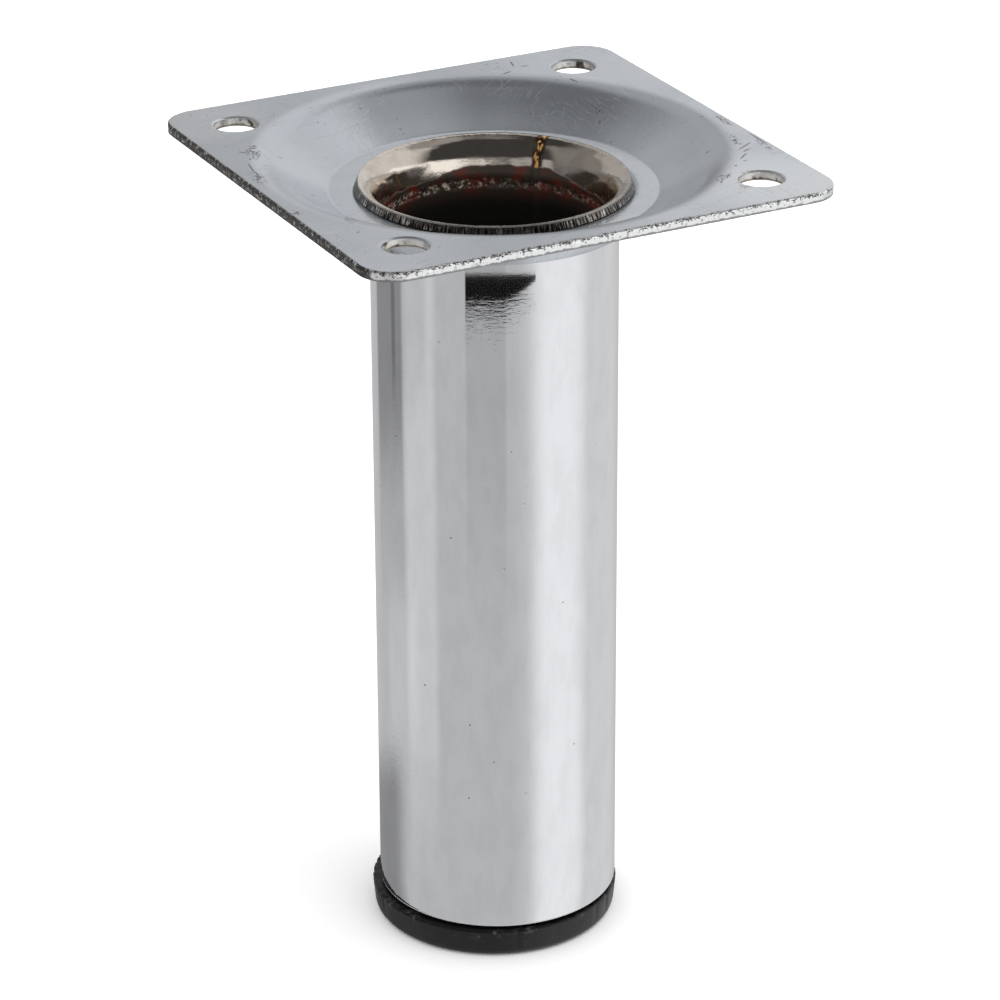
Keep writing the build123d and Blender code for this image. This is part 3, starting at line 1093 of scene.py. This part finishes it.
# %% [markdown]
# The studio. Bright metal shows its surroundings more than its own colour, so the surroundings
# are what gives chrome its look. Rays that have bounced off a shiny surface see a soft grey room:
# light walls on the right of the camera, dimmer ones on its left, a dark ceiling with one round
# lamp, and a low black card in front. The camera itself sees plain white, and dull surfaces are
# lit by an even white sky, so that their colours stay as written.

# %% Studio
CAMERA_SIDE = math.atan2(CAMERA_PLACE.y, CAMERA_PLACE.x)


def rise_at(degrees):
    """The z of a direction at that elevation."""
    return math.sin(math.radians(degrees))


def panel(ways, aside, half_width, soft, low, high, rise_soft, lean=0.0):
    """
    A soft card in the room: aside is its direction from the camera, low to high its elevation. The
    lower edge may lean: it falls to the left and rises to the right of the card's middle.
    """
    level_x, level_y, rise = ways
    turn = CAMERA_SIDE + math.radians(aside)
    facing = level_x * math.cos(turn) + level_y * math.sin(turn)
    outer = math.cos(math.radians(min(180, half_width + soft)))
    inner = math.cos(math.radians(max(0, half_width - soft)))
    sideways = facing.ramp(outer, inner)
    across = level_y * math.cos(turn) - level_x * math.sin(turn)
    leaning = rise - across * lean
    above = leaning.ramp(rise_at(low - rise_soft), rise_at(low + rise_soft))
    below = rise.ramp(rise_at(high - rise_soft), rise_at(high + rise_soft))
    return sideways * above * below.rest()


# Cards below the level of the eye, which the upright tube shows: aside (to the camera's right is
# above zero), half width, soft border, lowest and highest elevation, border in height, brightness
# added. Angles are in degrees.
LOW_ROOM_TONE = 0.54
LOW_CARDS = (
    (64, 14, 22, -80, -10, 4, 0.24),
    (92, 60, 20, -80, -10, 4, 0.17),
    (-76, 17, 5, -28.5, -10, 1.5, 0.12),
    (-119, 22, 3, -25.6, -10, 1.0, -0.07),
    (-104, 22, 6, -27.8, -25.6, 0.6, 0.06),
    (-82, 14, 5, -22.9, -10, 0.8, -0.09),
    (-119, 22, 3, -23.8, -10, 1.0, -0.19),
    (-109, 2.5, 1.5, -22.8, -10, 0.5, -0.10),
    (-146, 36, 14, -80, -27.9, 0.5, -0.26),
    (-8.5, 18.5, 2, -25.0, -10, 2.0, -0.08),
)
BLACK_CARD = (5.5, 32.5, 0.6, -21.9, -21.38, 0.015)
BLACK_CARD_LEAN = 0.0133
BLACK_CARD_FOOT = -21.86
BLACK_CARD_SOFT = 0.0008
# Walls above that level, which the flare and the plate show: the same, but with their own tone
HIGH_ROOM_TONE = 0.05
ZENITH_TONE = 0.22
WALLS = (
    (116, 40, 12, -15, 54, 8, 0.78),
    (166, 17, 10, -15, 46, 8, 0.78),
    (180, 30, 10, -15, 55, 8, 0.4),
    (-150, 28, 12, -15, 44, 10, 0.45),
    (-118, 58, 10, -15, 55, 8, 0.25),
    (60, 60, 8, -15, 15, 2.0, 1.2),
    (-20, 40, 6, -15, 16, 2.5, 0.45),
)
# A dim gap in the wall behind the leg, taken away with the strength that comes after the card
DIM_GAP = (180, 10, 6, -15, 12, 4)
DIM_GAP_DEPTH = 0.25
# A round lamp on the ceiling: aside, elevation, radius of its core and of its border, brightness
CEILING_LAMP = (115, 62, 10, 25, 0.35)
DARKEST = 0.008
SKY = 0.8


def build_room():
    world = bpy.data.worlds.new("studio")
    bpy.context.scene.world = world
    world.use_nodes = True
    tree = world.node_tree
    tree.nodes.clear()
    where = tree.nodes.new("ShaderNodeTexCoord")
    ahead_x, ahead_y, rise = split(tree, Field(tree, where.outputs["Generated"]))
    level = (ahead_x * ahead_x + ahead_y * ahead_y).math("SQRT").most(0.001)
    ways = (ahead_x / level, ahead_y / level, rise)

    low_tone = rise * 0.0 + LOW_ROOM_TONE
    for *card, bright in LOW_CARDS:
        low_tone = low_tone + panel(ways, *card) * bright
    black = panel(ways, *BLACK_CARD, lean=BLACK_CARD_LEAN)
    foot = rise_at(BLACK_CARD_FOOT)
    black = black * rise.ramp(foot - BLACK_CARD_SOFT, foot + BLACK_CARD_SOFT)
    low_tone = low_tone * black.rest()
    high_tone = rise.ramp(0.975, 0.998, HIGH_ROOM_TONE, ZENITH_TONE)
    for *card, bright in WALLS:
        high_tone = high_tone.most(panel(ways, *card) * bright)
    aside, lift, inner, outer, bright = CEILING_LAMP
    turn = CAMERA_SIDE + math.radians(aside)
    lift = math.radians(lift)
    toward = ahead_x * (math.cos(turn) * math.cos(lift))
    toward = toward + ahead_y * (math.sin(turn) * math.cos(lift))
    toward = toward + rise * math.sin(lift)
    lamp = toward.ramp(math.cos(math.radians(outer)), math.cos(math.radians(inner))) * bright
    high_tone = high_tone.most(lamp)
    high_tone = high_tone - panel(ways, *DIM_GAP) * DIM_GAP_DEPTH
    above = rise.ramp(rise_at(-18), rise_at(-12))
    tone = low_tone * above.rest() + high_tone * above
    tone = tone.most(DARKEST)

    path = tree.nodes.new("ShaderNodeLightPath")
    glossy = Field(tree, path.outputs["Is Glossy Ray"])
    camera_ray = Field(tree, path.outputs["Is Camera Ray"])
    strength = tone * glossy + glossy.rest() * SKY
    strength = strength * camera_ray.rest() + camera_ray
    light = add_node(tree, "ShaderNodeBackground", Color=(1, 1, 1, 1), Strength=strength)
    output = tree.nodes.new("ShaderNodeOutputWorld")
    tree.links.new(light.outputs[0], output.inputs["Surface"])


def soft_lamp(name, place, size, power):
    data = bpy.data.lights.new(name, "AREA")
    data.shape = "DISK"
    data.size = size
    data.energy = power
    lamp = bpy.data.objects.new(name, data)
    lamp.location = place
    lamp.rotation_euler = (Vector(place) * -1).to_track_quat("-Z", "Y").to_euler()
    lamp.visible_glossy = False
    bpy.context.scene.collection.objects.link(lamp)


# Place, width and power of the lamp that throws the soft shadow
KEY_LAMP = ((0.35, -0.45, 1.0), 0.9, 1.6)
FLOOR_HALF = 3.0
# The floor's white to the light, and to the camera, where it has to vanish into the background
FLOOR_WHITES = (0.8, 1.5)


def lay_floor():
    """A white floor. It shows white and shadow to the camera, and is unseen in the metal."""
    half = FLOOR_HALF
    mesh = bpy.data.meshes.new("floor")
    corners = [(-half, -half, 0), (half, -half, 0), (half, half, 0), (-half, half, 0)]
    mesh.from_pydata(corners, [], [(0, 1, 2, 3)])
    floor = bpy.data.objects.new("floor", mesh)
    material = bpy.data.materials.new("white_floor")
    material.use_nodes = True
    tree = material.node_tree
    tree.nodes.clear()
    seen = tree.nodes.new("ShaderNodeLightPath").outputs["Is Camera Ray"]
    white = Field(tree, seen).ramp(0.0, 1.0, *FLOOR_WHITES)
    surface = add_node(tree, "ShaderNodeBsdfDiffuse", Color=white)
    output = tree.nodes.new("ShaderNodeOutputMaterial")
    tree.links.new(surface.outputs[0], output.inputs["Surface"])
    mesh.materials.append(material)
    bpy.context.scene.collection.objects.link(floor)
    floor.visible_glossy = False


build_room()
soft_lamp("key_lamp", *KEY_LAMP)
lay_floor()
bpy.context.scene.view_settings.view_transform = "Standard"
print("studio is ready")

# %% [markdown]
# Last, each part is tied to the body it rides on, and the solid that it stands in for is hidden.

# %% Tie the parts to the frame
for part, solid, slot in (
    (tube, "leg_tube", "chrome_tube"),
    (plate, "mounting_plate", "plate_steel"),
    (cap, "foot_cap", "black_plastic"),
):
    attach(part, "root")
    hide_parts(solid)
